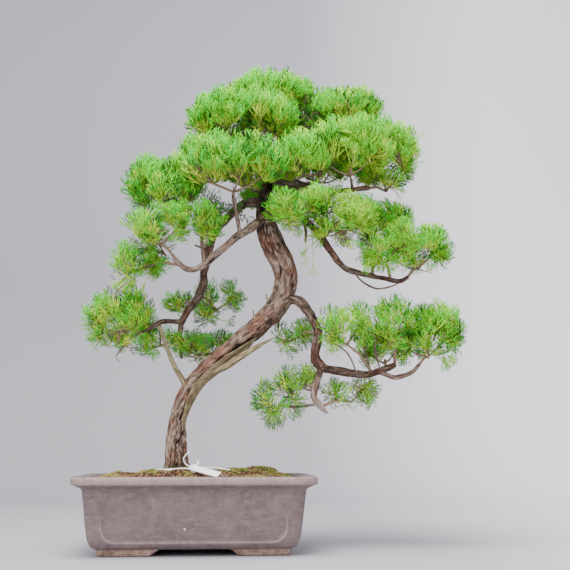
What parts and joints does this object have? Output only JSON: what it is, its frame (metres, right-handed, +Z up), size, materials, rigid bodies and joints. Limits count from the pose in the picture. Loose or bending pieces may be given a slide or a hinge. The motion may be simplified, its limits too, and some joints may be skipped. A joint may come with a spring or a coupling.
{
  "type": "potted juniper bonsai",
  "caption": "Chinese juniper bonsai in a rectangular stoneware pot: a long curved trunk, tapering boughs, bleached deadwood and separate masses of thread-like foliage, for display.",
  "frame": {"origin": "under the middle of the whole plant, at the level that the undersides of the pot's feet stand on", "axes": "+Z up, +X to the right along the pot's long side, -Y out of the front of the tree"},
  "size_m": [0.5868, 0.25, 0.7732],
  "materials": {
    "pot": "matt unglazed stoneware",
    "soil": "damp granular soil with moss",
    "label": "satin white",
    "bark": "fissured fibrous bark",
    "deadwood": "bare, bleached",
    "foliage": "satin leaf"
  },
  "bodies": {
    "root": {"pot": "pot", "soil": "soil", "label": "label", "trunk": "bark", "left_front_bough": "bark", "left_front_tip": "bark", "shelf_branch": "bark", "left_upright": "bark", "left_back_bough": "bark", "left_hanging_bough": "bark", "left_hanging_stub": "bark", "left_low_bough": "bark", "right_low_bough": "bark", "right_low_limb": "bark", "right_low_tip": "bark", "right_bottom_bough": "bark", "right_bottom_twig": "bark", "right_mid_bough": "bark", "right_mid_limb": "bark", "right_upper_bough": "bark", "apex_left_bough": "bark", "apex_right_bough": "bark", "rear_left_bough": "bark", "rear_right_bough": "bark", "left_deadwood": "deadwood", "right_deadwood": "deadwood", "foliage_apex_front": "foliage", "foliage_apex_back": "foliage", "foliage_crown_centre": "foliage", "foliage_crown_right_top": "foliage", "foliage_crown_right_front": "foliage", "foliage_crown_right_outer": "foliage", "foliage_shelf": "foliage", "foliage_left_upper": "foliage", "foliage_mid_centre": "foliage", "foliage_front_centre": "foliage", "foliage_right_mid_inner": "foliage", "foliage_right_mid_back": "foliage", "foliage_right_mid_front": "foliage", "foliage_right_mid_outer": "foliage", "foliage_left_front": "foliage", "foliage_left_stem_tuft": "foliage", "foliage_left_outer": "foliage", "foliage_left_low_pad": "foliage", "foliage_left_low_inner": "foliage", "foliage_left_back_upper": "foliage", "foliage_left_back_small": "foliage", "foliage_left_back_lower": "foliage", "foliage_right_low_outer": "foliage", "foliage_right_low_inner": "foliage", "foliage_right_low_left": "foliage", "foliage_right_low_back": "foliage", "foliage_bottom_left": "foliage", "foliage_bottom_mid": "foliage", "foliage_bottom_right": "foliage", "foliage_rear_left": "foliage", "foliage_rear_right": "foliage", "foliage_rear_centre": "foliage", "foliage_left_low_rear": "foliage", "foliage_right_low_rear": "foliage"}
  },
  "joints": []
}
